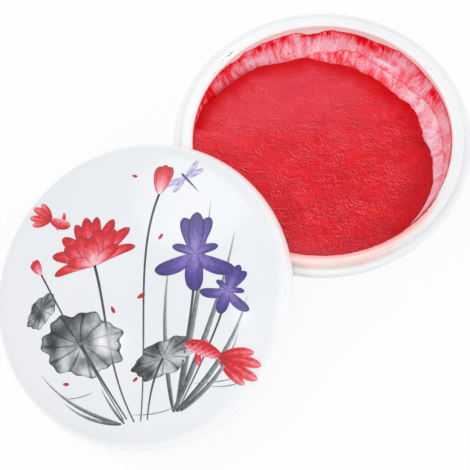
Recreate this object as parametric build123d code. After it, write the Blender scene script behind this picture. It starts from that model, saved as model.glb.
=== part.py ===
from build123d import *
import math
import os

# A round porcelain box for red seal paste, open for use as it stands on a desk.
# The bowl holds the paste. The lid has been taken off and leans on the bowl's spigot,
# with the low edge of its seat on the table.
# The bowl's axis is Z, its foot stands on Z = 0, and +X is to the right of someone who
# stands at -Y. All lengths are millimetres and all angles are degrees.

# Bowl, outside
body_radius = 45.0
ledge_height = 23.0
ledge_edge_round = 0.5
belt_height = 0.5
belly_shoulder_radius = 6.0
belly_shoulder_turn = 30.0

# Bowl, foot
foot_outer_radius = 27.8
foot_ring_width = 3.0
foot_height = 2.6
foot_flare = 0.7
foot_edge_round = 0.5
underside_edge_height = 4.2
underside_centre_height = 6.4
underside_corner_round = 1.2

# Bowl, spigot that the lid is centred on, and dish that holds the paste
ledge_width = 2.25
spigot_wall = 3.65
spigot_height = 1.9
spigot_outer_round = 0.7
spigot_inner_round = 0.8
spigot_root_round = 0.3
dish_lip_height = 1.0
dish_cove_radius = 10.5
dish_depth = 13.0

# Lid
lid_seat_width = 2.75
lid_height = 15.0
lid_shoulder_radius = 7.0
lid_skirt_height = 1.2
lid_wall = 3.2
lid_seat_clearance = 0.4
lid_inner_shoulder_radius = 5.0
lid_inner_skirt_height = 2.3
lid_outer_edge_round = 0.6
lid_inner_edge_round = 0.4

# Lid, where it leans
lean_overlap = 19.9
lean_direction = 214.0
lean_gap = 0.05
lean_search_low = 2.0
lean_search_high = 60.0
lean_search_steps = 40

# Seal paste
paste_bed_gap = 0.1
paste_mid_depth = 6.4
paste_slope = 6.8
paste_low_direction = 30.0
paste_edge_round = 1.3
paste_free_edge_depth = 6.0
paste_pull_back = 6.9
# how far the edge has drawn back from the lip at each fifteen degrees, counted from +X;
# below zero the paste lies against the dish and the dish gives its edge
paste_pull_shares = [
    1.06, 0.96, 1.13, 1.11, 1.09, 1.08, 0.79, 0.83, 0.57, 0.4, 0.0, -0.3,
    -0.3, -0.3, -0.3, -0.3, -0.3, -0.3, -0.3, -0.3, -0.1, 0.16, 0.45, 0.73,
]

# Sizes that follow from those above
spigot_outer_radius = body_radius - ledge_width
spigot_inner_radius = spigot_outer_radius - spigot_wall
spigot_top = ledge_height + spigot_height
dish_wall_top = spigot_top - dish_lip_height
dish_wall_depth = dish_depth - dish_lip_height
foot_inner_radius = foot_outer_radius - foot_ring_width
lid_seat_radius = spigot_outer_radius + lid_seat_clearance
lid_radius = lid_seat_radius + lid_seat_width
lean_distance = body_radius + lid_radius - lean_overlap
lid_dome_height = lid_height - lid_skirt_height
lid_inner_dome_height = lid_height - lid_wall - lid_inner_skirt_height


def crown_circle(radius, height, shoulder):
    """Radius of the flat arc that a wall of this radius turns into past its shoulder arc.

    The wall rises at radius, turns inwards on the shoulder arc and meets the axis at
    height. The flat arc is centred on the axis and touches the shoulder arc inside.
    """
    reach = radius - shoulder
    return (reach**2 + height**2 - shoulder**2) / (2 * (height - shoulder))


def turned_wall(radius, height, shoulder, start, way):
    """The two tangent arcs from (radius, start) to the axis, upwards or downwards.

    way is 1 for a dome and -1 for a dish. The ends and middles of the arcs lie on the
    circles of crown_circle, so each arc is drawn through three points.
    """
    reach = radius - shoulder
    crown = crown_circle(radius, height, shoulder)
    centre = height - crown
    turn = math.atan2(-centre, reach)

    def on_shoulder(angle):
        rise = shoulder * math.sin(angle)
        return reach + shoulder * math.cos(angle), start + way * rise

    def on_crown(angle):
        rise = centre + crown * math.sin(angle)
        return crown * math.cos(angle), start + way * rise

    shoulder_arc = ThreePointArc(on_shoulder(0), on_shoulder(turn / 2), on_shoulder(turn))
    crown_arc = ThreePointArc(
        on_shoulder(turn),
        on_crown((turn + math.pi / 2) / 2),
        (0, start + way * height),
    )
    return [shoulder_arc, crown_arc]


def turned_solid(lines):
    """A solid of revolution about Z, from a closed outline drawn as (radius, height)."""
    outline = make_face(Plane.XZ * Curve(lines))
    return revolve(outline, axis=Axis.Z)


def bowl_belly():
    """Outside of the bowl, from the belt under its ledge down to the foot.

    A small shoulder turns the wall inwards, and one flat arc, tangent to it, runs on to
    the foot.
    """
    belt_bottom = ledge_height - ledge_edge_round - belt_height
    shoulder = CenterArc(
        (body_radius - belly_shoulder_radius, belt_bottom),
        belly_shoulder_radius,
        0,
        -belly_shoulder_turn,
    )
    foot_top = (foot_outer_radius + foot_flare, foot_height)
    belly = TangentArc(shoulder @ 1, foot_top, tangent=shoulder % 1)
    return [shoulder, belly]


def bowl_foot():
    """The foot ring, from the belly round its flat face to the underside."""
    path = FilletPolyline(
        (foot_outer_radius + foot_flare, foot_height),
        (foot_outer_radius, 0),
        (foot_inner_radius, 0),
        (foot_inner_radius - foot_flare, underside_edge_height),
        (0, underside_centre_height),
        radius=[foot_edge_round, foot_edge_round, underside_corner_round],
    )
    return [path]


def bowl_rim():
    """Ledge and spigot, from the top of the belt over the spigot into the dish."""
    path = FilletPolyline(
        (body_radius, ledge_height - ledge_edge_round - belt_height),
        (body_radius, ledge_height),
        (spigot_outer_radius, ledge_height),
        (spigot_outer_radius, spigot_top),
        (spigot_inner_radius, spigot_top),
        (spigot_inner_radius, dish_wall_top),
        radius=[ledge_edge_round, spigot_root_round, spigot_outer_round, spigot_inner_round],
    )
    return [path]


def make_bowl():
    """The porcelain bowl: belly, foot ring, ledge, spigot and shallow dish in one piece."""
    dish = turned_wall(
        spigot_inner_radius, dish_wall_depth, dish_cove_radius, dish_wall_top, -1
    )
    axis_line = Line((0, underside_centre_height), (0, spigot_top - dish_depth))
    return turned_solid(bowl_rim() + bowl_belly() + bowl_foot() + [axis_line] + dish)


def make_lid():
    """The lid in its own frame: its seat on Z = 0 and its dome upwards."""
    dome = turned_wall(lid_radius, lid_dome_height, lid_shoulder_radius, lid_skirt_height, 1)
    ceiling = turned_wall(
        lid_seat_radius,
        lid_inner_dome_height,
        lid_inner_shoulder_radius,
        lid_inner_skirt_height,
        1,
    )
    seat = FilletPolyline(
        (lid_radius, lid_skirt_height),
        (lid_radius, 0),
        (lid_seat_radius, 0),
        (lid_seat_radius, lid_inner_skirt_height),
        radius=[lid_outer_edge_round, lid_inner_edge_round],
    )
    axis_line = Line((0, lid_height), (0, lid_height - lid_wall))
    return turned_solid(dome + ceiling + [seat, axis_line])


def seat_centre_height(tilt):
    """Height of the middle of the lid's seat when its rounded low edge is on the table."""
    sine = math.sin(math.radians(tilt))
    cosine = math.cos(math.radians(tilt))
    edge_centre = lid_radius - lid_outer_edge_round
    return edge_centre * sine + lid_outer_edge_round * (1 - cosine)


def seat_height_over_spigot(tilt):
    """Height of the seat's inner edge where it crosses the spigot's outer edge.

    The point is found by its turn about the lid's axis, counted from the highest point of
    the seat. Its distance from the bowl's axis has to be the spigot's radius, and that
    gives a quadratic in the cosine of the turn.
    """
    sine = math.sin(math.radians(tilt))
    cosine = math.cos(math.radians(tilt))
    along = lean_distance * cosine
    spare = lean_distance**2 + lid_seat_radius**2 - spigot_outer_radius**2
    root = math.sqrt(along**2 + sine**2 * spare)
    turn_cosine = (root - along) / (lid_seat_radius * sine**2)
    return seat_centre_height(tilt) + lid_seat_radius * turn_cosine * sine


def lean_tilt():
    """The tilt at which the lid rests on the table and on two places of the spigot."""
    low = lean_search_low
    high = lean_search_high
    for _ in range(lean_search_steps):
        middle = (low + high) / 2
        if seat_height_over_spigot(middle) < spigot_top + lean_gap:
            low = middle
        else:
            high = middle
    return high


def lid_place():
    """Where the leaning lid's frame lies: its low side away from the bowl."""
    tilt = lean_tilt()
    turn = math.radians(lean_direction)
    centre = (
        lean_distance * math.cos(turn),
        lean_distance * math.sin(turn),
        seat_centre_height(tilt),
    )
    return Location(centre) * Rotation(0, 0, lean_direction) * Rotation(0, tilt, 0)


def paste_plane():
    """Plane of the paste's surface, low towards paste_low_direction."""
    centre = Location((0, 0, spigot_top - paste_mid_depth))
    turned = centre * Rotation(0, 0, paste_low_direction) * Rotation(0, paste_slope, 0)
    return Plane(turned * Rotation(0, 0, -paste_low_direction))


def paste_outline(plane):
    """Edge of the paste in a plane: a smooth closed curve with its soft lobes."""
    count = len(paste_pull_shares)
    points = []
    for number, share in enumerate(paste_pull_shares):
        turn = 2 * math.pi * number / count
        radius = spigot_inner_radius - paste_pull_back * share
        points.append((radius * math.cos(turn), radius * math.sin(turn)))
    return make_face(plane * Spline(points, periodic=True))


def paste_mass():
    """The soft mass before the dish trims it: an upright flank that rounds over on top."""
    surface = paste_plane()
    outline = paste_outline(surface.offset(-paste_free_edge_depth))
    mass = extrude(outline, amount=paste_free_edge_depth, dir=surface.z_dir)
    top = mass.faces().sort_by(Axis(surface.origin, surface.z_dir))[-1]
    return fillet(top.edges(), paste_edge_round)


def make_seal_paste():
    """The paste: it fills the dish up to its tilted surface and its drawn back edge."""
    wall = turned_wall(
        spigot_inner_radius - paste_bed_gap,
        dish_wall_depth - paste_bed_gap,
        dish_cove_radius - paste_bed_gap,
        dish_wall_top,
        -1,
    )
    bed_radius = spigot_inner_radius - paste_bed_gap
    lip = Line((bed_radius, dish_wall_top), (bed_radius, spigot_top))
    top = Line((bed_radius, spigot_top), (0, spigot_top))
    axis_line = Line((0, spigot_top), (0, spigot_top - dish_depth + paste_bed_gap))
    bed = turned_solid(wall + [lip, top, axis_line])
    return bed & paste_mass()


os.makedirs("parts", exist_ok=True)

bowl = make_bowl()
seal_paste = make_seal_paste()
lid = lid_place() * make_lid()

print("the lid leans at", round(lean_tilt(), 3), "degrees")
print("the middle of its seat is at", lid_place().position)
print("paste volume in cubic millimetres", round(seal_paste.volume))

export_step(bowl, "parts/bowl.step")
export_step(seal_paste, "parts/seal_paste.step")
export_step(lid, "parts/lid.step")
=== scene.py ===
# %% [markdown]
# # A box of red seal paste
# The real object is a round porcelain box, about 90 mm across, that stands open on a table.
# The bowl holds a soft red paste, and the lid leans on the bowl's spigot. The solids come
# from a imported CAD model, so this script only adds the finish: the porcelain, the paste's
# crinkled skin, the film it leaves on the wall, and the print on the lid.
# Loading the imported model is always the first step, because every new piece has to sit on
# it. Its box is kept, and the lamps are placed about its middle.

import math

import bpy
import numpy as np
from mathutils import Matrix, Vector


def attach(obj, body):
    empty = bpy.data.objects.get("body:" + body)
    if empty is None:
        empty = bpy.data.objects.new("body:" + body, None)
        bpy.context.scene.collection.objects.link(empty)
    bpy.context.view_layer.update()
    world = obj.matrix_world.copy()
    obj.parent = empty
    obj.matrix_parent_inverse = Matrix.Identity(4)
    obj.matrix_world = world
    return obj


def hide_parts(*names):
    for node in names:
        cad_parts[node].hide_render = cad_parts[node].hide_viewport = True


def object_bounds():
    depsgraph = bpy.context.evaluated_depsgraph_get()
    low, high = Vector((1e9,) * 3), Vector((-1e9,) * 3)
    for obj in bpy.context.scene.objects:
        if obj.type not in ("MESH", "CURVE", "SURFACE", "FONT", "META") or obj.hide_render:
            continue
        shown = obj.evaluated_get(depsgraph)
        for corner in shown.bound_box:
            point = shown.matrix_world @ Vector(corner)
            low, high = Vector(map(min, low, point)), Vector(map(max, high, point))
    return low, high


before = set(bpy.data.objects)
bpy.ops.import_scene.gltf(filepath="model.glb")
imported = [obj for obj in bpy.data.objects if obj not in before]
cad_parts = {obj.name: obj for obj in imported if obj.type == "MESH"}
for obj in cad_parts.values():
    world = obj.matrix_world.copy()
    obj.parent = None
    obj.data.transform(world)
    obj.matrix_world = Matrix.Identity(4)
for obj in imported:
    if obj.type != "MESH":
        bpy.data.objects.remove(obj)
cad_low, cad_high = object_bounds()
mm = 0.001
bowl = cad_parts["bowl"]
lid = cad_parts["lid"]


def add_object(name, data):
    """A new object in the scene, at the origin."""
    made = bpy.data.objects.new(name, data)
    bpy.context.scene.collection.objects.link(made)
    return made


print("nodes", sorted(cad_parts), "box", tuple(cad_low), tuple(cad_high))

# %% [markdown]
# ## Camera
# The picture looks down on the box at a steep angle and is turned a little. A camera could
# be aimed with a constraint, but a matrix built from its own right, up and view directions
# says exactly what it does, and includes the turn. The lens is long, as for a product
# picture taken from about 40 cm.

# %% Camera
look_down = math.radians(65.18)
camera_turn = math.radians(-7.365)
camera_place = Vector((-29.755, -194.84, 383.03)) * mm
lens_in_pixels = 1350
picture_width = 470
sensor_width = 36

view = Vector((0, math.cos(look_down), -math.sin(look_down)))
level_up = Vector((0, math.sin(look_down), math.cos(look_down)))
level_right = Vector((1, 0, 0))
right = level_right * math.cos(camera_turn) + level_up * math.sin(camera_turn)
up = level_up * math.cos(camera_turn) - level_right * math.sin(camera_turn)

camera_data = bpy.data.cameras.new("camera")
camera_data.sensor_width = sensor_width
camera_data.lens = sensor_width * lens_in_pixels / picture_width
camera = add_object("camera", camera_data)
camera_axes = Matrix((right, up, -view)).transposed()
camera.matrix_world = Matrix.Translation(camera_place) @ camera_axes.to_4x4()
bpy.context.scene.camera = camera
bpy.context.scene.view_settings.view_transform = "Standard"
print("lens", round(camera_data.lens, 1), "mm")

# %% [markdown]
# ## Shader maths
# A finish is a sum of masks and colours, and written with nodes alone it is hard to read.
# This class wraps one output socket, so that Python's own operators add the Math nodes,
# and `1 - mask` works as written. Its `node` method makes every other node: the settings
# come first, then values or links for its inputs.

# %% A socket that can be added, multiplied and linked
class Wire:
    """One output of a shader node, in the node tree that it belongs to."""

    def __init__(self, tree, socket=None):
        self.tree = tree
        self.socket = socket

    def node(self, kind, settings=None, inputs=None, output=""):
        """Adds a node of any kind. A ramp's stops are given as the setting stops.

        Without the name of an output, the wire carries the node's first one.
        """
        made = self.tree.nodes.new(kind)
        for name, value in (settings or {}).items():
            if name == "stops":
                fill_ramp(made.color_ramp, value)
            else:
                setattr(made, name, value)
        for name, value in (inputs or {}).items():
            socket = next(s for s in made.inputs if name in (s.identifier, s.name))
            if isinstance(value, Wire):
                self.tree.links.new(value.socket, socket)
            else:
                socket.default_value = value
        found = [s for s in made.outputs if output in ("", s.identifier, s.name)]
        return Wire(self.tree, found[0] if found else None)

    def maths(self, operation, *values):
        inputs = dict(zip(("Value", "Value_001", "Value_002"), values))
        return self.node("ShaderNodeMath", {"operation": operation}, inputs)

    def __add__(self, other):
        return self.maths("ADD", self, other)

    def __radd__(self, other):
        return self.maths("ADD", other, self)

    def __sub__(self, other):
        return self.maths("SUBTRACT", self, other)

    def __rsub__(self, other):
        return self.maths("SUBTRACT", other, self)

    def __mul__(self, other):
        return self.maths("MULTIPLY", self, other)

    def __rmul__(self, other):
        return self.maths("MULTIPLY", other, self)

    def vector_maths(self, operation, inputs, output=""):
        return self.node("ShaderNodeVectorMath", {"operation": operation}, inputs, output)

    def attribute(self, name):
        return self.node("ShaderNodeAttribute", {"attribute_name": name}, {}, "Fac")

    def principled(self, inputs):
        return self.node("ShaderNodeBsdfPrincipled", {}, inputs, "BSDF")

    def step(self, low, high):
        """Rises smoothly from 0 at low to 1 at high."""
        settings = {"interpolation_type": "SMOOTHSTEP"}
        inputs = {"Value": self, "From Min": low, "From Max": high}
        return self.node("ShaderNodeMapRange", settings, inputs)

    def mix(self, first, second):
        """Blends two colours by this mask."""
        inputs = {"Factor_Float": self, "A_Color": first, "B_Color": second}
        return self.node("ShaderNodeMix", {"data_type": "RGBA"}, inputs, "Result_Color")


def fill_ramp(ramp, stops):
    """Gives a colour ramp its stops, each a place from 0 to 1 and the values of a tone."""
    while len(ramp.elements) < len(stops):
        ramp.elements.new(1)
    for element, (place, *values) in zip(ramp.elements, stops):
        element.position = place
        element.color = tone(*values)


def tone(red, green, blue):
    """A colour written as a screen shows it, from 0 to 255, as linear light."""
    shares = [value / 255 for value in (red, green, blue)]
    lights = [s / 12.92 if s < 0.04045 else ((s + 0.055) / 1.055) ** 2.4 for s in shares]
    return (*lights, 1)


def new_finish(name):
    """A material with an empty node tree, and the first wire into it."""
    material = bpy.data.materials.new(name)
    material.use_nodes = True
    material.node_tree.nodes.clear()
    return material, Wire(material.node_tree)


def close_finish(shader):
    """Sends the finished shader to the material's output."""
    shader.node("ShaderNodeOutputMaterial", {}, {"Surface": shader})


# %% [markdown]
# ## Room
# The box stands on a plain pale floor in soft light. The background should be white, but a
# brighter lamp would bleach the porcelain. So the world shows white to the camera and in
# reflections, and gives a plainer light to everything else. The floor does the same with a
# part of its own glow, and the rest of it is an ordinary surface that keeps the shadow.

# %% World
world = bpy.data.worlds.new("studio")
world.use_nodes = True
world.node_tree.nodes.clear()
sky = Wire(world.node_tree)
room_light = 0.73


def seen_directly(wire):
    """1 for rays from the camera, from a reflection or through glass, else 0."""
    rays = ("Is Camera Ray", "Is Glossy Ray", "Is Transmission Ray")
    camera_ray, glossy_ray, glass_ray = [
        wire.node("ShaderNodeLightPath", {}, {}, ray) for ray in rays
    ]
    return wire.maths("MAXIMUM", wire.maths("MAXIMUM", camera_ray, glossy_ray), glass_ray)


brightness = room_light + (1 - room_light) * seen_directly(sky)
white_sky = sky.node(
    "ShaderNodeBackground", {}, {"Color": (1, 1, 1, 1), "Strength": brightness}
)
sky.node("ShaderNodeOutputWorld", {}, {"Surface": white_sky})
bpy.context.scene.world = world

# %% Floor
floor_half_width = 1.5
floor_drop = 0.05 * mm
floor_glow = 0.89

floor_corners = floor_half_width * np.array([(-1, -1), (1, -1), (1, 1), (-1, 1)])
floor_points = np.column_stack([floor_corners, np.full(4, -floor_drop)])
floor_mesh = bpy.data.meshes.new("floor")
floor_mesh.from_pydata(floor_points.tolist(), [], [(0, 1, 2, 3)])
floor = add_object("floor", floor_mesh)

floor_finish, wire = new_finish("pale floor")
paper = wire.node("ShaderNodeBsdfDiffuse", {}, {"Color": (0.93, 0.93, 0.93, 1)})
glow = wire.node("ShaderNodeEmission", {}, {"Color": (1, 1, 1, 1), "Strength": 1.0})
share = seen_directly(wire) * floor_glow
close_finish(wire.node("ShaderNodeMixShader", {}, {
    "Fac": share, "Shader": paper, "Shader_001": glow}))
floor_mesh.materials.append(floor_finish)

# %% Soft lamps
middle = (cad_low + cad_high) / 2


def softbox(name, elevation, azimuth, distance, size, radiance):
    """A round lamp that faces the box, placed by its angles as seen from the box."""
    lamp_data = bpy.data.lights.new(name, "AREA")
    lamp_data.shape = "DISK"
    lamp_data.size = size
    lamp_data.energy = radiance * math.pi * math.pi * size**2 / 4
    lamp = add_object(name, lamp_data)
    rise, turn = math.radians(elevation), math.radians(azimuth)
    level = math.cos(rise)
    way = Vector((level * math.cos(turn), level * math.sin(turn), math.sin(rise)))
    aim = way.to_track_quat("Z", "Y").to_matrix().to_4x4()
    lamp.matrix_world = Matrix.Translation(middle + way * distance) @ aim


softbox("overhead", 60, 108, 0.9, 0.6, 1.35)
softbox("left window", 43.7, -163.8, 0.8, 0.12, 13)
softbox("front window", 75.5, -86, 0.8, 0.10, 2.5)
softbox("right side", 35, -15, 0.9, 0.6, 1.15)
softbox("front fill", 24, -72, 0.9, 0.6, 0.8)

# %% [markdown]
# ## Porcelain
# Glazed porcelain is white clay under a clear glassy skin. The skin has a faint swell from
# the firing, which softens the lamps' reflections. The foot ring stands in the kiln, so it
# is left unglazed, and so is the narrow seat of the lid.

# %% Glazed porcelain
glaze_roughness = 0.12


def in_millimetres(wire):
    """The place on the object, in millimetres, as a vector."""
    place = wire.node("ShaderNodeTexCoord", {}, {}, "Object")
    return wire.vector_maths("SCALE", {"Vector": place, "Scale": 1 / mm})


def across(place, axis):
    """One coordinate of a place."""
    return place.node("ShaderNodeSeparateXYZ", {}, {"Vector": place}, "XYZ"[axis])


def round_axis(place):
    """Distance from the bowl's axis in mm, and direction about it in degrees from +X."""
    x, y = across(place, 0), across(place, 1)
    return x.maths("SQRT", x * x + y * y), x.maths("ARCTAN2", y, x) * math.degrees(1)


def noise(place, scale, detail=2.0, roughness=0.5, twist=0.0):
    """Soft noise from 0 to 1 with so many waves to a millimetre, twisted into wisps."""
    inputs = {
        "Vector": place,
        "Scale": scale,
        "Detail": detail,
        "Roughness": roughness,
        "Distortion": twist,
    }
    return place.node("ShaderNodeTexNoise", {}, inputs, "Fac")


def bump(height, strength, distance):
    inputs = {"Height": height, "Strength": strength, "Distance": distance}
    return height.node("ShaderNodeBump", {}, inputs, "Normal")


def spots(place, rows):
    """How strongly ragged dots cover a place; each row gives x, y, radius and strength."""
    ragged = noise(place, 2.6, 2.0) * 0.5 + 0.75
    x, y = across(place, 0), across(place, 1)
    cover = 0
    for dot_x, dot_y, radius, strength in rows:
        off_x, off_y = x - dot_x, y - dot_y
        distance = x.maths("SQRT", off_x * off_x + off_y * off_y) * ragged
        cover = distance.step(radius, radius * 0.5) * strength + cover
    return x.maths("MINIMUM", cover, 1)


def porcelain(name, white, shade, marks_and_painted_light, bare):
    """A glazed finish that drifts between two whites, with its stains, its painted light and bare
    clay.
    """
    material, wire = new_finish(name)
    place = in_millimetres(wire)
    drift = noise(place, 0.03).step(0.35, 0.65)
    colour = marks_and_painted_light(place, drift.mix(white, shade))
    clay = bare(place)
    bare_clay = noise(place, 1.2, 3.0).mix(tone(214, 208, 198), tone(232, 228, 220))
    colour = clay.mix(colour, bare_clay)
    swell = noise(place, 0.12, 1.0) + noise(place, 3.0, 2.0) * clay * 0.5
    normal = bump(swell, 0.25, 0.3 * mm)
    roughness = clay * 0.5 + glaze_roughness
    inputs = {"Base Color": colour, "Roughness": roughness, "IOR": 1.5, "Normal": normal}
    close_finish(wire.principled(inputs))
    return material


# %% [markdown]
# The stains of a bowl in use follow its shape: paste is wiped off on the near rim, and a
# few dried specks stick to the far one. So each stain is a mask of the distance from the
# axis, of the direction and of the height.

# %% Finish of the bowl
# x, y, radius and strength of the small dark specks of dried paste on the rim, in mm
dark_specks = [
    (-23.3, 33.3, 0.25, 0.8), (-23.8, 32.8, 0.34, 1.0), (-24.5, 32.2, 0.36, 1.0),
    (-25.1, 31.7, 0.24, 0.7), (-26.3, 30.8, 0.32, 0.5), (-26.8, 30.2, 0.22, 0.3),
    (-27.4, 29.5, 0.28, 0.4), (-28.5, 27.5, 0.22, 0.3), (-29.5, 26.5, 0.26, 0.5),
    (-29.9, 26.0, 0.20, 0.4), (35.0, 19.0, 0.26, 0.35), (35.8, 18.2, 0.22, 0.3),
    (36.6, 18.0, 0.26, 0.25),
]


def bowl_stains_and_painted_light(place, colour):
    """Paste rubbed into the rim on the near side, a darker red line on the inner face next to the
    paste, specks of paste on the far side, and the inner wall above the paste painted whiter, a
    painted light.
    """
    radius, turn = round_axis(place)
    height = across(place, 2)
    # painted light: the inner wall above the paste is painted a brighter white, to lift the shade
    # inside the bowl
    wall = radius.step(39.9, 39.3) * height.step(20, 21)
    colour = wall.mix(colour, tone(255, 252, 252))
    streak_inputs = {"X": radius * 3.2 + height * 2.0, "Y": turn * 0.03}
    streaks = noise(place.node("ShaderNodeCombineXYZ", {}, streak_inputs), 1.0, 3.0)
    near = turn.step(-28, -84) * turn.step(-178, -150)
    upper = height.step(22.85, 23.05)
    reach = radius + (noise(place, 0.25, 2.0) - 0.5) * 1.6 - near * 2.6
    lines = 0.3 + 0.9 * streaks.step(0.35, 0.65)
    peach = reach.step(41.6, 39.2) * near.step(0, 0.35) * upper * lines
    colour = peach.mix(colour, tone(251, 210, 197))
    pink = (radius + (streaks - 0.5)).step(41.2, 40.1) * near.step(0, 0.5) * upper
    colour = (pink * 0.8).mix(colour, tone(246, 152, 156))
    ragged = radius + (noise(place, 0.7, 3.0) - 0.5) * 0.7
    back = turn.step(-179, -150)
    lip = ragged.step(39.95, 39.65) * height.step(23.5, 24.0) * turn.step(-34, -46) * back
    colour = lip.mix(colour, tone(196, 20, 36))
    # a darker red line high on the inner face, on the near and right side next to the paste
    line = ragged.step(39.4, 39.2) * height.step(24.1, 24.3) * turn.step(-10, -32) * back
    colour = (line * 0.7).mix(colour, tone(146, 18, 40))
    specks = spots(place, dark_specks) * height.step(24.2, 24.5)
    return specks.mix(colour, tone(96, 30, 44))


def foot_ring(place):
    """1 on the bare clay of the ring that the bowl stands on."""
    return across(place, 2).step(0.75, 0.55)


bowl_whites = (tone(243, 244, 245), tone(238, 240, 242))
bowl.data.materials[0] = porcelain("bowl glaze", *bowl_whites, bowl_stains_and_painted_light, foot_ring)

# %% [markdown]
# The lid leans, so its own masks are measured from its seat. The middle of the seat and the
# direction of the lid's axis come from the CAD source.

# %% Finish of the lid
lid_middle = np.array([-58.8617, -39.7027, 13.8122])
lid_lean = math.radians(17.715)
lid_low_side = math.radians(214)
lid_axis = np.array([
    math.sin(lid_lean) * math.cos(lid_low_side),
    math.sin(lid_lean) * math.sin(lid_low_side),
    math.cos(lid_lean),
])


def over_seat(place):
    """Height over the plane of the lid's seat, and distance from the lid's axis, in mm."""
    away = place.vector_maths("SUBTRACT", {"Vector": place, "Vector_001": tuple(lid_middle)})
    along_axis = {"Vector": away, "Vector_001": tuple(lid_axis)}
    height = place.vector_maths("DOT_PRODUCT", along_axis, "Value")
    span = place.vector_maths("LENGTH", {"Vector": away}, "Value")
    return height, span.maths("SQRT", span * span - height * height)


def lid_speck_and_painted_light(place, colour):
    """The edge is painted whiter, a painted light, and a speck lies under the glaze."""
    height, radius = over_seat(place)
    # painted light: the lid is painted whiter round its edge, to lift the shade and the red light
    # from the paste there
    colour = radius.step(43.2, 45.4).mix(colour, tone(252, 253, 254))
    speck = spots(place, [(-30.2, -37.2, 0.3, 0.35)]) * height.step(2, 4)
    return speck.mix(colour, tone(150, 150, 156))


def lid_seat(place):
    """1 on the bare clay of the narrow ring that the lid rests on."""
    height, radius = over_seat(place)
    return height.step(0.12, 0.06) * radius.step(42.6, 42.9)


lid_whites = (tone(239, 241, 244), tone(235, 238, 242))
lid.data.materials[0] = porcelain("lid glaze", *lid_whites, lid_speck_and_painted_light, lid_seat)

# %% [markdown]
# ## Paste
# The paste is a stiff mass of pigment and oil. It has been pressed and scraped, so its
# surface tilts, its skin is crinkled, and on one side it has drawn back from the wall with
# a lobed edge. It could be displaced by a modifier, but worked out as arrays every height
# is known, so the same functions also give the film on the wall its edges.
# First come the dish that carries it, and a soft noise to shape it with.

# %% Dish and soft noise
dish_radius = 39.1
dish_wall_top = 23.9
cove_radius = 10.5
floor_arc_radius = 283.9
dish_floor_height = 11.9
cove_centre = dish_radius - cove_radius
cove_end = 29.7
bed_gap = 0.1
noise_cells = 256


def dish_height(radius, gap=0.0):
    """Height of the dish at a radius, in mm, or of a surface that lies a gap above it.

    Inside cove_end the floor is an arc about a centre high above. Outside, the wall is an
    arc about a circle of radius cove_centre at the height of dish_wall_top.
    """
    arc = floor_arc_radius - gap
    floor_height = dish_floor_height + floor_arc_radius - np.sqrt(arc**2 - radius**2)
    beside = np.clip(radius - cove_centre, 0, cove_radius - gap)
    wall_height = dish_wall_top - np.sqrt((cove_radius - gap) ** 2 - beside**2)
    return np.where(radius < cove_end, floor_height, wall_height)


def turned(radius, angle, height):
    """Points at a radius and an angle about the bowl's axis, at a height."""
    return np.stack([radius * np.cos(angle), radius * np.sin(angle), height], axis=-1)


def soft_noise(x, y, cell, seed):
    """Noise from 0 to 1 on square cells of the given width.

    A random number stands at each corner of the cells. Between corners the numbers are
    blended by the S-curve 3t^2 - 2t^3, first along x and then along y.
    """
    table = np.random.default_rng(seed).random((noise_cells, noise_cells))
    i, j = np.floor(x / cell).astype(int), np.floor(y / cell).astype(int)
    s, t = x / cell - i, y / cell - j
    s, t = s * s * (3 - 2 * s), t * t * (3 - 2 * t)
    i, j, next_i, next_j = [corner % noise_cells for corner in (i, j, i + 1, j + 1)]
    near = table[i, j] * (1 - s) + table[next_i, j] * s
    far = table[i, next_j] * (1 - s) + table[next_i, next_j] * s
    return near * (1 - t) + far * t


def smooth_step(value, low, high):
    share = np.clip((value - low) / (high - low), 0, 1)
    return share * share * (3 - 2 * share)


def ring_faces(rings, start):
    """Faces of one closed shape: quads between its rings and a fan at each end.

    rings is an array of (ring, place round the ring, xyz). The fans meet at two more points,
    the means of the end rings. Faces are turned outwards by the sign of the volume that
    they enclose, and start is the number of the shape's first point in the mesh.
    """
    count, around = rings.shape[:2]
    points = np.concatenate([rings.reshape(-1, 3), rings[[0, -1]].mean(axis=1)])
    index = np.arange(count * around).reshape(count, around)
    beside = np.roll(index, -1, axis=1)
    quads = np.stack([index[:-1], index[1:], beside[1:], beside[:-1]], axis=-1)
    quads = quads.reshape(-1, 4)
    first = np.stack([np.full(around, count * around), index[0], beside[0]], axis=-1)
    last = np.stack([np.full(around, count * around + 1), beside[-1], index[-1]], axis=-1)
    origin = points.mean(axis=0)
    a, b, c, d = (points[quads[:, k]] - origin for k in range(4))
    way = 1 if (np.cross(a, b) * c).sum() + (np.cross(a, c) * d).sum() > 0 else -1
    faces = [(group[:, ::way] + start).tolist() for group in (quads, first, last)]
    return points, faces[0] + faces[1] + faces[2]


def closed_sheet(top, under, marks, axis=1):
    """Rings and attributes of a thin shape: over its top, then back along its underside."""
    def there_and_back(outward, homeward):
        return np.concatenate([outward, np.flip(homeward, axis)], axis)

    return there_and_back(top, under), {
        key: there_and_back(values, values) for key, values in marks.items()
    }


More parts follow.
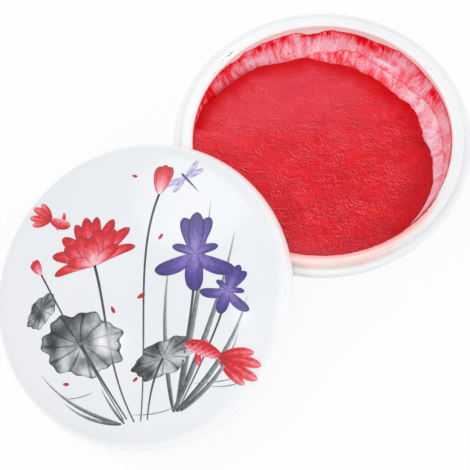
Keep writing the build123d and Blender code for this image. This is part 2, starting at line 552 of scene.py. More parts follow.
def build_piece(name, shapes, body, finish):
    """One object from closed shapes, each given as its rings and its point attributes."""
    points, faces, layers, start = [], [], {}, 0
    for rings, attributes in shapes:
        shape_points, shape_faces = ring_faces(rings, start)
        points.append(shape_points)
        faces += shape_faces
        start += len(shape_points)
        for key, values in attributes.items():
            ends = [values[0].mean(), values[-1].mean()]
            layers.setdefault(key, []).append(np.append(values.ravel(), ends))
    mesh = bpy.data.meshes.new(name)
    mesh.from_pydata((np.concatenate(points) * mm).tolist(), [], faces)
    for key, values in layers.items():
        layer = mesh.attributes.new(key, "FLOAT", "POINT")
        layer.data.foreach_set("value", np.concatenate(values).astype(np.float32))
    mesh.polygons.foreach_set("use_smooth", np.ones(len(faces), bool))
    mesh.materials.append(finish)
    piece = add_object(name, mesh)
    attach(piece, body)
    print(name, sum(len(face) - 2 for face in faces), "triangles")
    return piece


print("dish", dish_height(np.array([0.0, 20, 30, 35, 39])).round(2))

# %% [markdown]
# The paste's edge is a table of how far it has drawn back, smoothed and given small lobes.
# Where the table says that it hasn't, the edge lies where the tilted surface meets the
# dish, which is found by stepping towards it a few times.

# %% Edge of the paste
paste_mid_height = 18.5
paste_slope = math.tan(math.radians(6.8))
paste_low_side = math.radians(30)
pull_back = 6.9
# one value every 7.5 degrees from the +X side; below zero the paste lies on the wall
pull_shares = [
    1.08, 1.04, 0.95, 1.00, 1.15, 1.17, 1.13, 1.15, 1.12, 1.03, 1.10, 1.02, 0.79, 0.83,
    0.87, 0.67, 0.58, 0.53, 0.42, 0.39, 0.12, -0.2, *[-0.3] * 19, -0.15, 0.02, 0.27, 0.43,
    0.63, 0.70, 0.88,
]
lobe_width = 3.2
lobe_depth = 0.55
# the table is read at three turns this far apart, in degrees, and their mean is used
edge_smoothing = [-2.5, 0, 2.5]
edge_tries = 30


def tilted_plane(x, y):
    """Height of the paste's mean surface: it falls evenly towards its low side."""
    along = x * math.cos(paste_low_side) + y * math.sin(paste_low_side)
    return paste_mid_height - paste_slope * along


def paste_edge(angle):
    """Radius of the paste's edge, in mm, at angles in radians."""
    knots = np.arange(len(pull_shares) + 1) * math.tau / len(pull_shares)
    values = pull_shares + pull_shares[:1]
    turns = np.mod(angle[..., None] + np.radians(edge_smoothing), math.tau)
    share = np.interp(turns, knots, values).mean(axis=-1)
    arc = angle * dish_radius
    lobes = np.abs(2 * soft_noise(arc, 0 * arc, lobe_width, 5) - 1) - 0.5
    free = dish_radius - pull_back * share + lobe_depth * lobes * (share > 0)
    touching = np.full_like(angle, dish_radius - 1)
    for _ in range(edge_tries):
        height = tilted_plane(touching * np.cos(angle), touching * np.sin(angle))
        reach = (cove_radius - bed_gap) ** 2 - (dish_wall_top - height) ** 2
        touching = cove_centre + np.sqrt(reach)
    return np.minimum(free, touching)


print("edge", paste_edge(np.radians([0.0, 45, 90, 135, 180, 225, 270, 315])).round(1))

# %% [markdown]
# The skin is noise on noise: broad swells from the pressing, wavy creases that run across,
# and a grain that is coarser towards the near side, where the paste has been worked most.

# %% Mesh of the paste
around = 480
top_rings = 150
bed_rings = 14
edge_round = 1.1
least_edge_height = 0.15
least_thickness = 0.02
seam_angle = np.arange(around) * math.tau / around


def crease(x, y, cell, seed):
    """Sharp valleys where a soft noise passes through its middle, from 0 to 1."""
    return (1 - np.abs(2 * soft_noise(x, y, cell, seed) - 1)) ** 4


def skin(x, y):
    """Height of the skin over the tilted plane, in mm."""
    swell = 0.5 * soft_noise(x, y, 13, 11) + 0.25 * soft_noise(x, y, 5.5, 12) - 0.37
    drift_x = x + 3 * soft_noise(x, y, 6, 13)
    drift_y = y + 2 * soft_noise(x, y, 5, 14)
    folds = crease(drift_x * 0.35, drift_y, 2.6, 15) + crease(drift_x * 0.4, drift_y, 1.7, 16)
    worked = smooth_step(-y, -16, 14)
    grain = soft_noise(drift_x * 0.7, drift_y, 0.9, 17) - 0.5
    lumps = soft_noise(drift_x * 0.6, drift_y, 1.7, 18) - 0.5
    fine = (0.04 + 0.10 * worked) * grain + (0.06 + 0.14 * worked) * lumps
    return swell - (0.08 + 0.05 * worked) * folds + fine


share = np.linspace(0, 1, top_rings + 1)[1:, None] ** 0.8
edge = paste_edge(seam_angle)
radius = share * edge
x, y = radius * np.cos(seam_angle), radius * np.sin(seam_angle)
inside = edge - radius
fade = smooth_step(inside, 0, 1.6)
plane = tilted_plane(x, y)
room = np.clip(plane - dish_height(edge, bed_gap), least_edge_height, edge_round)
roll = np.clip(1 - inside / edge_round, 0, 1)
height = plane + skin(x, y) * (0.25 + 0.75 * fade) - room * (1 - np.sqrt(1 - roll**2))
height = np.maximum(height, dish_height(radius, bed_gap) + least_thickness)

bed_share = np.linspace(1, 0, bed_rings + 1)[:-1, None]
bed_radius = bed_share * edge
bed_height = np.minimum(dish_height(bed_radius, bed_gap), height[-1])
rings = np.concatenate([
    turned(radius, seam_angle, height), turned(bed_radius, seam_angle, bed_height)
])
free_edge = (np.mod(seam_angle + 1.1, math.tau) < 4.0) * 1.0
near_edge = np.clip(np.cos(seam_angle + 1.9), 0, 1) ** 2
right_edge = np.clip(np.cos(seam_angle + 0.6), 0, 1) ** 3
ragged = 3.4 + 3.0 * soft_noise(x, y, 2.6, 19)
rim = np.exp(-((inside / ragged) ** 3)) * free_edge * (1 - 0.75 * right_edge)
# painted sheen: lighter over the far, upper part, less so to the right, and in a band along the
# near edge
haze = smooth_step(y, -12, 22) * (1 - 0.8 * smooth_step(x, 8, 27))
haze = haze + 0.8 * near_edge * np.exp(-((inside / 5.0) ** 2))
# painted shade: darker within a few mm of the paste's edge on its right side
shade = right_edge * np.exp(-((inside / 6.5) ** 2))
tones = {
    key: np.vstack([value, np.tile(value[-1], (bed_rings, 1))])
    for key, value in (("rim", rim), ("haze", haze), ("shade", shade))
}

# %% [markdown]
# The paste's red is strong but not even. Its far, upper part and a band along its near edge
# are painted lighter, a painted sheen of the oily skin, and near its right edge it is painted
# darker, a painted shade. The worked side is darker, and the rim that has dried last is the
# purest red. The grain that is too fine for the mesh comes from a bump. The white surroundings
# wash a bump out, so the grain's light and shade are also painted into the red: each point is
# as light as it stands higher than the point next to it on the lamp's side.

# %% Finish of the paste
def wandering(place, scale, reach):
    """The place pushed about by a soft noise, by up to the reach."""
    inputs = {"Vector": place, "Scale": scale, "Detail": 1.0}
    waves = place.node("ShaderNodeTexNoise", {}, inputs, "Color")
    push = place.vector_maths("SCALE", {"Vector": waves, "Scale": reach})
    return place.vector_maths("ADD", {"Vector": place, "Vector_001": push})


def lengthened(place, angle, share):
    """The place turned by an angle, then pressed along, so that what is on it runs long."""
    inputs = {"Vector": place, "Rotation": (0, 0, -math.radians(angle)), "Scale": (share, 1, 1)}
    return place.node("ShaderNodeMapping", {"vector_type": "POINT"}, inputs)


def crinkles(place, worked, middle_zone):
    """Height of the fine skin in mm: crumpled and grained, with creases across the middle."""
    bent = wandering(place, 0.13, 8.0)
    curled = wandering(bent, 0.5, 0.5)
    crumple = noise(lengthened(curled, 12, 0.6), 0.55, 4.0, 0.62)
    grain = noise(lengthened(bent, 28, 0.6), 1.9, 2.0, 0.6)
    folds = place.maths("ABSOLUTE", noise(lengthened(curled, 4, 0.3), 0.45, 2.0) - 0.5)
    creases = folds.step(0.06, 0) * noise(place, 0.2, 1.0).step(0.38, 0.6)
    return (
        crumple * (0.34 + 0.20 * worked)
        + grain * (0.26 + 0.34 * worked)
        - creases * (0.03 + 0.12 * middle_zone)
    )


paste_finish, wire = new_finish("seal paste")
place = in_millimetres(wire)
rim, haze, shade = [wire.attribute(key) for key in ("rim", "haze", "shade")]
worked = (across(place, 1) + across(place, 0) * -0.3).step(16, -14)
middle_zone = across(place, 1).step(20, 6) * across(place, 0).step(24, 8)
relief = crinkles(place, worked, middle_zone)
lamp_side = (-0.22, -0.18, 0)
towards_lamp = wire.vector_maths("ADD", {"Vector": place, "Vector_001": lamp_side})
# how much of the tones below is mixed in where the grain is lit or shaded, and where the
# red drifts up or down; below zero the mix follows the dark side of the same value
lit_share, shaded_share = 2.6, -2.7
bright_share, deep_share = 0.5, -0.9
roughly = noise(place, 0.17, 2.0).step(0.35, 0.65) * 0.9 + 0.55
lit = (relief - crinkles(towards_lamp, worked, middle_zone)) * roughly
patches = noise(place, 0.14, 3.0)
dull = noise(lengthened(place, 20, 0.6), 0.22, 4.0, 0.6).step(0.5, 0.75)
# the painted sheen, broken by random patches, lightens the red towards pink
red = (haze + (patches - 0.5) * 0.8).step(-0.1, 1.1).mix(tone(238, 5, 26), tone(230, 54, 71))
red = (dull * (0.15 + 0.22 * worked)).mix(red, tone(208, 6, 24))
mottled = noise(lengthened(place, 14, 0.7), 0.13, 4.0, 0.6) - 0.5
red = (mottled * bright_share).mix(red, tone(255, 110, 126))
red = (mottled * deep_share).mix(red, tone(170, 0, 16))
red = (lit * lit_share).mix(red, tone(255, 136, 150))
red = (lit * shaded_share).mix(red, tone(164, 0, 14))
# painted shade near the paste's right edge
red = shade.mix(red, tone(209, 18, 33))
red = (rim * 0.9).mix(red, tone(210, 0, 12))
normal = bump(relief, 1.0, 1.0 * mm)
inputs = {"Base Color": red, "Normal": normal}
oily = wire.principled({**inputs, "Roughness": 0.28, "IOR": 1.45, "Specular IOR Level": 0.22})
dry = wire.principled({**inputs, "Roughness": 0.6, "Specular IOR Level": 0.08})
skin_inputs = {"Fac": rim, "Shader": oily, "Shader_001": dry}
close_finish(wire.node("ShaderNodeMixShader", {}, skin_inputs))

# %% The paste in its finish
skin_shape = (rings, tones)
paste = build_piece("paste_skin", [skin_shape], "bowl", paste_finish)
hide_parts("seal_paste")

# %% [markdown]
# ## Film on the wall
# Where the paste has drawn back it has left a film on the porcelain, pink where it is thin
# and red where it is thick. It could be painted on the bowl, but as a thin closed shell of
# its own it catches the light, and its thickness can choose its colour. Its top edge and
# its lower edge, just under the paste, are found for every direction. Between them the
# shell follows the wall, and noise gives it drawn streaks, thick blobs and bare places.

# %% Edges of the film
film_start = math.radians(-180)
film_end = math.radians(180)
film_stations = 1200
film_rows = 40
film_skin = 0.03
film_thickness = 0.30
film_under = 0.01
film_lip_gap = 0.05
# how far it runs on under the paste and its least width, as turns round the cove
film_tuck = math.radians(4)
film_least_turn = 0.02
# height of the film's upper edge in mm at angles in degrees
film_top_angles = [-180, -140, -105, -75, -40, -20, *range(-8, 40, 8), *range(40, 137, 4), 180]
film_top_heights = [
    23.8, 23.6, 23.0, 22.7, 22.5, 22.4, 23.2, 23.1, 22.9, 22.7, 22.3, 22.5, 22.6, 23.1, 22.1,
    22.3, 21.7, 22.0, 22.2, 22.4, 22.2, 22.6, 22.2, 21.2, 20.9, 22.1, 22.5, 22.2, 22.0, 22.1,
    22.4, 22.2, 22.9, 22.3, 22.5, 23.5, 23.8, 23.8,
]


def wall_turn(height):
    """How far round the cove, in radians from its level start, a height lies."""
    return np.arcsin(np.clip((dish_wall_top - height) / cove_radius, 0, 1))


film_angle = np.linspace(film_start, film_end, film_stations)
arc = film_angle * dish_radius
top_height = np.interp(np.degrees(film_angle), film_top_angles, film_top_heights)
ragged_top = 0.3 * (soft_noise(arc, 0 * arc, 2.2, 31) - 0.5)
ragged_top += 0.25 * (soft_noise(arc, 0 * arc, 0.8, 32) - 0.5)
top_height += ragged_top
top_turn = wall_turn(np.minimum(top_height, dish_wall_top - film_lip_gap))
edge_beside = (paste_edge(film_angle) - cove_centre) / (cove_radius - bed_gap)
low_turn = np.arccos(np.clip(edge_beside, 0, 1)) + film_tuck
low_turn = np.maximum(low_turn, top_turn + film_least_turn)
print("film is up to", round(cove_radius * float((low_turn - top_turn).max()), 1), "mm wide")

# %% Thickness of the film
# how thick the film is at angles in degrees: at its upper edge, further down, in how many
# mm it thins out between them, and below the second line
film_angles = [
    -180, -110, -62, -20, -8, 8, 18, 24, 32, 40, 48, 56, 64, 70, 80, 88, 94, 104, 114, 120, 128,
    134, 150, 180,
]
top_shares = [
    0.46, 0.36, 0.10, 0.16, 0.24, 0.26, 0.40, 0.36, 0.36, 0.34, 0.46, 0.50, 0.44, 0.44, 0.40,
    0.46, 0.50, 0.52, 0.54, 0.50, 0.56, 0.54, 0.50, 0.46,
]
middle_shares = [
    0.42, 0.30, 0.06, 0.10, 0.16, 0.18, 0.26, 0.22, 0.24, 0.20, 0.20, 0.24, 0.18, 0.13, 0.12,
    0.14, 0.16, 0.22, 0.14, 0.12, 0.22, 0.34, 0.42, 0.42,
]
thinning_lengths = [
    8, 4, 2, 3, 3, 3, 3, 2, 2, 2, 2.5, 3, 2.5, 1.3, 1.4, 2.5, 1.6, 4, 2.2, 1.8, 2.2, 5, 8, 8,
]
lower_shares = [
    0.40, 0.20, 0.08, 0.10, 0.14, 0.15, 0.15, 0.17, 0.24, 0.30, 0.34, 0.44, 0.48, 0.48, 0.42,
    0.30, 0.14, 0.12, 0.08, 0.08, 0.14, 0.25, 0.4, 0.4,
]
# an older edge of the paste has left a second line, in mm down the wall from the lip
tide_angles = [-62, -40, -19, -6, 3, 12, 20, 28, 38, 48, 56, 63, 69, 74, 80, 84, 100]
tide_depths = [12, 4.4, 5.8, 7.0, 6.7, 7.0, 8.0, 9.5, 9.9, 9.9, 9.1, 8.1, 8.0, 9.0, 9.9, 9.4, 12]

down = np.linspace(0, 1, film_rows) ** 1.15
turn = top_turn[:, None] + down * (low_turn - top_turn)[:, None]
wall_depth = cove_radius * turn
depth = wall_depth - cove_radius * top_turn[:, None]
left = cove_radius * (low_turn[:, None] - turn)
arc = np.repeat(arc[:, None], film_rows, axis=1)
degrees = np.degrees(film_angle)[:, None]
tide = wall_depth - np.interp(degrees, tide_angles, tide_depths)
tide += 0.5 * (soft_noise(arc, 0 * arc, 1.6, 41) - 0.5)
on_far_side = (degrees > -58) & (degrees < 96)
lower_tier = smooth_step(tide, -0.15, 0.25) * on_far_side


def drawn_streaks(slant, cell, seed):
    """Streaks drawn down the wall, from 0 to 1, with sharp sides."""
    wander = slant + 0.5 * (soft_noise(slant, depth, 3, seed) - 0.5) * depth
    return smooth_step(soft_noise(wander, depth * 0.16, cell, seed + 1), 0.30, 0.72)


fine = 0.5 * drawn_streaks(arc, 0.42, 33) + 0.5 * drawn_streaks(arc, 0.9, 43)
coarse = 0.6 * drawn_streaks(arc + 0.5 * depth, 1.3, 53) + 0.4 * drawn_streaks(arc, 0.5, 63)
broad = soft_noise(arc, depth * 0.6, 3.2, 36)
patch = soft_noise(arc + depth, depth * 1.4, 5.5, 38)
top, middle, thinning, lower = [
    np.interp(degrees, film_angles, values)
    for values in (top_shares, middle_shares, thinning_lengths, lower_shares)
]
upper_film = (middle + (top - middle) * np.exp(-depth / thinning)) * (0.45 + 1.1 * fine)
upper_film = upper_film * (0.55 + 0.9 * broad)
lower_film = lower * (0.3 + 1.1 * coarse) * (0.5 + patch)
film = upper_film * (1 - lower_tier) + lower_film * lower_tier
film += 0.30 * np.exp(-((tide / 0.22) ** 2)) * (0.2 + broad) * on_far_side
film += 0.30 * np.exp(-((depth / (0.2 + 0.4 * broad)) ** 2)) * fine
film = np.where(depth < 0.2, 0.62 + 0.38 * broad, film)
# thick blobs and bare places: angle, depth down the wall, half its width and height, change
film_blobs = [
    (18, 4.0, 2.2, 1.4, 0.5), (51, 3.2, 5.0, 0.7, 0.4), (57, 4.0, 3.5, 1.1, 0.4),
    (63, 3.7, 2.0, 1.1, 0.3), (79, 2.8, 1.0, 0.8, 0.4), (75, 4.6, 0.9, 1.3, 0.15),
    (88, 3.3, 5.5, 0.35, 0.4), (92, 2.7, 3.0, 0.5, 0.3), (104, 3.2, 3.2, 0.6, 0.35),
    (113, 3.6, 4.2, 0.8, 0.28), (122, 2.9, 1.8, 0.7, 0.2), (128, 2.8, 2.6, 1.1, 0.4),
    (121, 4.1, 1.5, 0.8, -0.12), (117, 6.3, 9.0, 0.9, -0.07), (107, 5.5, 6.0, 0.9, -0.05),
    (56, 7.0, 2.0, 0.8, -0.15), (72, 5.5, 1.6, 1.8, -0.08), (41, 5.4, 6.0, 1.7, -0.21),
    (112, 5.7, 2.5, 0.8, 0.07), (119, 5.9, 2.5, 0.9, -0.07), (62, 6.3, 3.0, 0.8, -0.09),
    (77, 6.1, 6.0, 0.9, -0.05), (1, 3.0, 8.0, 1.7, -0.11), (97, 3.9, 3.0, 0.9, 0.08),
]
for blob_angle, blob_depth, wide, tall, change in film_blobs:
    off_angle = (degrees - blob_angle) / wide + 0.8 * (patch - 0.5)
    off_depth = (wall_depth - blob_depth) / tall + 1.6 * (broad - 0.5)
    film += change * np.exp(-(off_angle**2) - off_depth**2) * (0.15 + 1.5 * fine)
# painted highlight: a thin arc on the far side is cleared of film, so that the white glaze shows
# as a highlight
painted_highlight_arc = np.exp(-(((degrees - 48) / 8) ** 4) - (((wall_depth - 8.0) / 0.75) ** 2))
film = np.clip(film * (1 - painted_highlight_arc), 0, 1)
ends = np.minimum(film_angle - film_start, film_end - film_angle)[:, None]
thinned = film_thickness * film * smooth_step(left, 0.2, 1.4) * smooth_step(ends, 0, 0.03)
raised = film_skin + thinned


def on_wall(angle, turn, lift):
    """Points on the cove at angles about the axis and turns round the cove, lifted off it."""
    radius = cove_centre + (cove_radius - lift) * np.cos(turn)
    return turned(radius, angle, dish_wall_top - (cove_radius - lift) * np.sin(turn))


# %% Mesh of the film
angle = np.repeat(film_angle[:, None], film_rows, axis=1)
front, back = on_wall(angle, turn, raised), on_wall(angle, turn, film_under)
film_shape = closed_sheet(front, back, {"film": film})

# %% Finish of the film
film_finish, wire = new_finish("paste film")
place = in_millimetres(wire)
body = wire.attribute("film")
cracks = wire.maths("ABSOLUTE", noise(place, 0.75, 3.0, 0.6) - 0.5).step(0.03, 0)
body = body + (noise(place, 1.4, 3.0) - 0.5) * 0.16 + cracks * body.step(0.02, 0.2) * 0.26
stops = [
    (0.0, 255, 238, 241), (0.08, 255, 206, 220), (0.24, 255, 149, 170),
    (0.45, 255, 74, 89), (0.72, 252, 28, 40), (1.0, 224, 8, 24),
]
colour = wire.node("ShaderNodeValToRGB", {"stops": stops}, {"Fac": body}, "Color")
normal = bump(noise(place, 1.4, 3.0), 0.35, 0.1 * mm)
inputs = {"Base Color": colour, "Roughness": 0.2, "IOR": 1.45, "Normal": normal}
close_finish(wire.principled(inputs))
build_piece("paste_film", [film_shape], "bowl", film_finish)

# %% [markdown]
# ## Print on the lid
# The lid carries a print that was laid on the glaze and fired: a lotus pond in the manner
# of a brush painting, with flowers, leaves, two irises, goldfish and a dragonfly. A print
# could be an image texture, but then the picture would have to come from a file. Here each
# brush stroke is a thin closed shell laid on the dome. Its shape is a curve with a width,
# drawn in the plane of the lid's seat, and every point of it knows how strong the ink is.

# %% Dome that the print lies on
crown_radius = 121.67
crown_centre_height = -106.67
print_under = 0.004
# strokes that cross lie on different levels, each a little over the one below
first_lift = 0.016
layer = 0.007

lid_across = np.array([1, 0, 0]) - lid_axis[0] * lid_axis
lid_across /= np.linalg.norm(lid_across)
lid_upward = np.cross(lid_axis, lid_across)


def drape(flat, lift):
    """Lays points of the lid's own plane on its dome, lifted a little off it, all in mm.

    The dome is a sphere about a centre on the lid's axis, so the height over the seat is
    the centre's height plus the root of the radius squared less the distance squared.
    """
    height = np.sqrt((crown_radius + lift) ** 2 - (flat**2).sum(axis=-1)) + crown_centre_height
    place = flat[..., :1] * lid_across + flat[..., 1:] * lid_upward
    return lid_middle + place + height[..., None] * lid_axis


def shell(flat, level, ink, along, sideways, axis=1):
    """A thin closed shape on the dome from a grid of flat points, with its ink."""
    top, under = drape(flat, first_lift + layer * level), drape(flat, print_under)
    marks = {"ink": ink, "along": along, "sideways": sideways}
    marks = {key: np.broadcast_to(value, flat.shape[:2]) for key, value in marks.items()}
    return closed_sheet(top, under, marks, axis)


print("lid axis", lid_axis.round(3))

# %% Brush strokes
def bezier(controls, count):
    """Points on a curve: the control points weighted by the binomial terms of s and 1-s."""
    s = np.linspace(0, 1, count)[:, None]
    order = len(controls) - 1
    terms = [math.comb(order, k) * s**k * (1 - s) ** (order - k) for k in range(order + 1)]
    return sum(term * np.array(point, float) for term, point in zip(terms, controls))


def petal_width(s):
    """Widest past the middle, rounded at the base and drawn to a point at the tip."""
    return s**0.6 * (1 - s) ** 0.45 / 0.49


def reed_width(s):
    """Widest near the base, with a long thin tip."""
    return s**0.25 * (1 - s) ** 0.8 / 0.62


def stem_width(s):
    return 1 - 0.45 * s


stroke_sides = np.array([-1, -0.84, -0.5, 0, 0.5, 0.84, 1])


def stroke(controls, half_width, profile, level, ink, count=18):
    """A brush stroke: points at each side of a curve, as far off as the profile says.

    ink is a function of s, from 0 to 1 along the curve, and t, from -1 to 1 across it.
    """
    line = bezier(controls, count)
    along = np.gradient(line, axis=0)
    along /= np.linalg.norm(along, axis=1, keepdims=True)
    side = np.stack([-along[:, 1], along[:, 0]], axis=-1)
    s = np.linspace(0, 1, count)[:, None]
    t = stroke_sides[None, :]
    width = half_width * profile(np.clip(s, 0.004, 0.996))
    flat = line[:, None] + side[:, None] * (t * width)[..., None]
    return shell(flat, level, np.clip(ink(s, t), 0, 1), s, t)


def polar(angle, length):
    """A step of this length at an angle in degrees, counted clockwise from upwards."""
    turn = math.radians(angle)
    return np.array([math.sin(turn), math.cos(turn)]) * length


def petal(base, angle, length, width, bend, level, ink):
    """A petal from its base, with its tip bent sideways by a share of its length."""
    tip = base + polar(angle, length)
    middle = base + polar(angle, length * 0.5) + polar(angle + 90, bend * length)
    return stroke([base, middle, tip], width, petal_width, level, ink)


# %% Inks by where a point lies in its stroke
def rose_petal_ink(s, t):
    """Pale at the base, red at the tip, with a fine dark outline."""
    return 0.20 + 0.62 * s**1.3 + 0.12 * np.abs(t) + 0.34 * (np.abs(t) > 0.9)


def rose_full_ink(s, t):
    return 0.62 + 0.25 * s + 0.12 * np.abs(t)


def iris_ink(s, t):
    return 0.42 + 0.42 * s + 0.14 * np.abs(t) + 0.22 * (np.abs(t) > 0.9)


def wash_ink(s, t):
    return 0.75 - 0.35 * s + 0.15 * t


def line_ink(s, t):
    return 0.88 - 0.2 * s + 0 * t


# %% Lotus flowers and irises
rose_strokes, violet_strokes, ink_strokes = [], [], []


def both_sides(angle, length, width, bend):
    """Two petals that mirror each other, the left one first."""
    return [(-angle, length, width, bend), (angle, length, width, -bend)]


def flower(strokes, centre, size, lean, rows, ink):
    """Petals from the back row to the front: angle, length, width and bend as shares."""
    for number, (angle, length, width, bend) in enumerate(rows):
        strokes.append(petal(
            centre, angle + lean, length * size, width * size, bend, 2 + number, ink
        ))


open_lotus_shares = [
    *both_sides(14, 1.02, 0.13, 0.02), *both_sides(36, 1.00, 0.14, 0.05), (0, 1.06, 0.15, 0),
    *both_sides(60, 1.02, 0.13, 0.10), *both_sides(84, 0.92, 0.10, 0.16),
    *both_sides(46, 0.82, 0.16, 0.10), *both_sides(20, 0.76, 0.17, 0.06),
    *both_sides(70, 0.62, 0.12, 0.16), (0, 0.60, 0.17, 0),
]
bud_shares = [*both_sides(12, 0.96, 0.20, 0.06), (0, 1.0, 0.21, 0)]
flower(rose_strokes, (-9, 8), 14.5, -8, open_lotus_shares, rose_petal_ink)
flower(rose_strokes, (12, 26), 9.5, 14, bud_shares, rose_petal_ink)
flower(rose_strokes, (-27, 9), 5.5, -30, bud_shares, rose_petal_ink)

# three petals that stand, three that hang, and two small ones between them
iris_shares = [
    *both_sides(20, 0.92, 0.17, 0.08), (0, 1.0, 0.18, 0), *both_sides(112, 0.98, 0.18, -0.18),
    (178, 0.86, 0.21, 0.04), *both_sides(70, 0.55, 0.10, 0.10),
]
flower(violet_strokes, (21, 6), 12.5, 8, iris_shares, iris_ink)
flower(violet_strokes, (29, -6), 8.0, 30, iris_shares, iris_ink)

# %% Leaves of the lotus
def lotus_leaf(centre, radii, turn, waves, level, seed):
    """A round leaf in polar form: radius is a share times a wavy ellipse.

    Its ink is a wash with darker veins, where the cosine of a multiple of the angle peaks.
    """
    s = np.linspace(0.02, 1, 15)[:, None]
    angle = np.linspace(0, math.tau, 121)[None, :-1]
    ruffle = 1 + 0.07 * np.cos(waves * angle + seed) + 0.04 * np.cos((waves * 2 + 1) * angle)
    u, v = s * radii[0] * ruffle * np.cos(angle), s * radii[1] * ruffle * np.sin(angle)
    tilt = math.radians(turn)
    flat = np.stack([
        centre[0] + u * math.cos(tilt) - v * math.sin(tilt),
        centre[1] + u * math.sin(tilt) + v * math.cos(tilt),
    ], axis=-1)
    veins = np.clip(np.cos(11 * angle + 2 * s), 0, 1) ** 12 * np.clip(s * 6, 0, 1)
    wash = 0.26 + 0.62 * soft_noise(flat[..., 0], flat[..., 1], 3.2, seed)
    shade = 0.22 * np.cos(angle - 2.2) * s
    ink = np.clip(wash + shade + 0.40 * veins + 0.3 * (s > 0.97), 0, 1)
    return shell(flat, level, ink, s, np.sin(5 * angle), axis=0)


ink_strokes += [
    lotus_leaf((-16, -14), (13, 9.0), -12, 7, 0, 3),
    lotus_leaf((8, -22), (9.5, 4.6), 18, 6, 1, 8),
    lotus_leaf((-28, -2), (6.0, 3.6), 40, 5, 0, 5),
]

# %% Stems and reeds
def reed(root, tip, sag, width):
    """A long blade from its root to its tip, bent by a sideways push at the middle."""
    root, tip = np.array(root, float), np.array(tip, float)
    run = tip - root
    push = np.array([-run[1], run[0]]) * sag
    controls = [root, root + run * 0.55 + push, tip]
    ink_strokes.append(stroke(controls, width, reed_width, 0.5, wash_ink))


for controls, width in (
    ([(-9, 8), (-6, -8), (-9, -22), (-4, -38)], 0.42),
    ([(12, 26), (4, 8), (6, -14), (-2, -38)], 0.36),
    ([(-27, 9), (-20, -6), (-14, -20), (-7, -37)], 0.28),
    ([(-16, -14), (-12, -24), (-9, -30), (-6, -37)], 0.40),
    ([(8, -22), (4, -27), (2, -32), (0, -38)], 0.36),
    ([(21, 6), (20, -8), (14, -22), (9, -36)], 0.42),
    ([(29, -6), (25, -16), (18, -26), (10, -36)], 0.32),
):
    ink_strokes.append(stroke(controls, width, stem_width, 1.5, line_ink))
for root, tip, sag, width in [
    ((8, -37), (33, 12), -0.10, 0.85), ((9, -37), (27, 22), -0.06, 0.8),
    ((9, -37), (34, -8), -0.16, 0.8), ((10, -37), (30, -18), -0.18, 0.65),
    ((8, -37), (14, 6), 0.06, 0.7), ((-8, -38), (-31, -20), 0.16, 0.6),
    ((-8, -38), (-25, -29), 0.18, 0.55), ((-7, -38), (-12, -27), 0.08, 0.45),
]:
    reed(root, tip, sag, width)

# %% Goldfish
def goldfish(centre, length, heading):
    """Body, two fins and a flowing tail, with the nose towards the heading."""
    ahead, beside = polar(heading, length), polar(heading + 90, length)
    nose, root = centre + 0.30 * ahead, centre - 0.22 * ahead
    middle = centre + 0.04 * ahead + 0.07 * beside
    fin_root = centre + 0.10 * ahead

    def body_width(s):
        return s**0.45 * (1 - 0.86 * s) ** 0.7 / 0.56

    def body_ink(s, t):
        return 0.60 + 0.26 * t + 0.14 * np.sin(40 * s) * np.cos(7 * t)

    def fin_ink(s, t):
        return 0.76 - 0.42 * s + 0.18 * np.abs(np.sin(9 * t))

    for base, angle, reach, width, bend, level in (
        (root, -150, 0.52, 0.075, 0.10, 0), (root, -168, 0.62, 0.085, 0.05, 1),
        (root, 172, 0.60, 0.085, -0.06, 2), (root, 153, 0.50, 0.075, -0.12, 3),
        (fin_root, 115, 0.20, 0.045, 0.1, 1), (fin_root, -112, 0.24, 0.045, 0.1, 1),
    ):
        rose_strokes.append(petal(
            base, heading + angle, reach * length, width * length, bend, level, fin_ink
        ))
    body = [nose, middle, root]
    rose_strokes.append(stroke(body, 0.125 * length, body_width, 5, body_ink, 26))
    eye = centre + 0.20 * ahead + 0.045 * beside
    spot = [eye - 0.016 * ahead, eye, eye + 0.016 * ahead]
    ink_strokes.append(stroke(
        spot, 0.016 * length, petal_width, 7, lambda s, t: 1 + 0 * s * t, 6
    ))


goldfish((20, -22), 19, -62)
goldfish((-20, 24), 14, 118)

# %% Dragonfly, ripples and fallen petals
def dragonfly(centre, size, heading):
    """Four wings with dark outlines, and a banded body over them."""
    tail = centre - polar(heading, size)
    head = centre + polar(heading, 0.28 * size)
    for angle, reach in ((72, 0.95), (104, 0.86), (-72, 0.95), (-104, 0.86)):
        violet_strokes.append(petal(
            centre, heading + angle, reach * size, 0.13 * size, 0.04, 1,
            lambda s, t: 0.16 + 0.22 * np.abs(np.sin(8 * t + 5 * s)) + 0.3 * (np.abs(t) > 0.9),
        ))
    violet_strokes.append(stroke(
        [head, centre, tail], 0.06 * size, reed_width, 3,
        lambda s, t: 0.8 + 0.2 * np.sin(38 * s) + 0 * t,
    ))


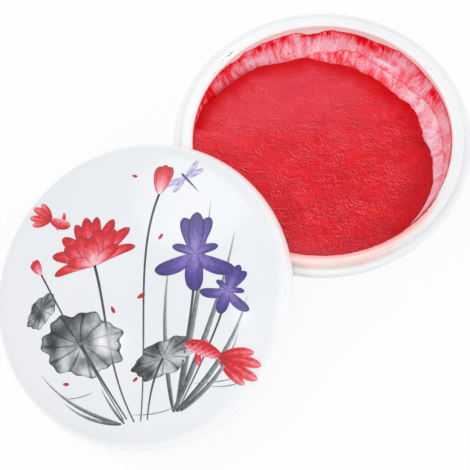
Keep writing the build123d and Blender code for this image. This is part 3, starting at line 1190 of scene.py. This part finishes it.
dragonfly((20, 30), 6.5, -35)
for x, y, reach in ((22, -30, 7), (24, -31.5, 4.5), (-20, -28, 5), (2, -36, 6)):
    ripple = [(x - reach, y), (x, y - 1.2), (x + reach, y)]
    ink_strokes.append(stroke(ripple, 0.16, petal_width, 0, lambda s, t: 0.5 + 0 * s * t))
for base, angle, size in (
    ((3, -4), 70, 2.6), ((-5, -5), 160, 2.2), ((11, 12), 40, 2.0), ((-24, -24), 100, 2.0),
    ((-2, -27), 60, 1.8), ((29, -25), 20, 1.8), ((4, 34), 120, 1.8),
):
    rose_strokes.append(petal(base, angle, size, 0.24 * size, 0.08, 0, rose_full_ink))
print("strokes", len(rose_strokes), "rose", len(violet_strokes), "violet", len(ink_strokes), "ink")

# %% [markdown]
# An ink on porcelain is the glaze's own white where it is thinnest, so each ink is a ramp
# from that white to its full colour. Bristles of the brush leave lighter streaks along the
# stroke, and the fired ink shines like the glaze around it.

# %% Inks
def ink_finish(name, stops):
    """A ramp of one ink, broken by the streaks of the brush."""
    material, wire = new_finish(name)
    place = in_millimetres(wire)
    ink, along, sideways = [wire.attribute(key) for key in ("ink", "along", "sideways")]
    combed = wire.node("ShaderNodeCombineXYZ", {}, {"X": along * 1.5, "Y": sideways * 5.0})
    bristles = noise(combed, 1.6, 2.0)
    pooled = noise(place, 0.9, 2.0)
    depth = ink + (bristles - 0.5) * 0.35 + (pooled - 0.5) * 0.30
    colour = wire.node("ShaderNodeValToRGB", {"stops": stops}, {"Fac": depth}, "Color")
    inputs = {"Base Color": colour, "Roughness": glaze_roughness, "IOR": 1.5}
    close_finish(wire.principled(inputs))
    return material


glaze_white = (241, 243, 246)
rose_stops = [
    (0.0, *glaze_white), (0.22, 250, 208, 214), (0.45, 240, 122, 136), (0.66, 226, 30, 42),
    (1.0, 150, 10, 24),
]
violet_stops = [
    (0.0, *glaze_white), (0.22, 216, 208, 236), (0.45, 150, 132, 200),
    (0.7, 92, 74, 158), (1.0, 46, 34, 96),
]
ink_stops = [
    (0.0, *glaze_white), (0.28, 208, 211, 214), (0.5, 150, 154, 158),
    (0.75, 84, 88, 92), (1.0, 26, 26, 30),
]
for name, strokes, stops in (
    ("print_ink", ink_strokes, ink_stops),
    ("print_violet", violet_strokes, violet_stops),
    ("print_rose", rose_strokes, rose_stops),
):
    build_piece(name, strokes, "lid", ink_finish(name.replace("_", " "), stops))
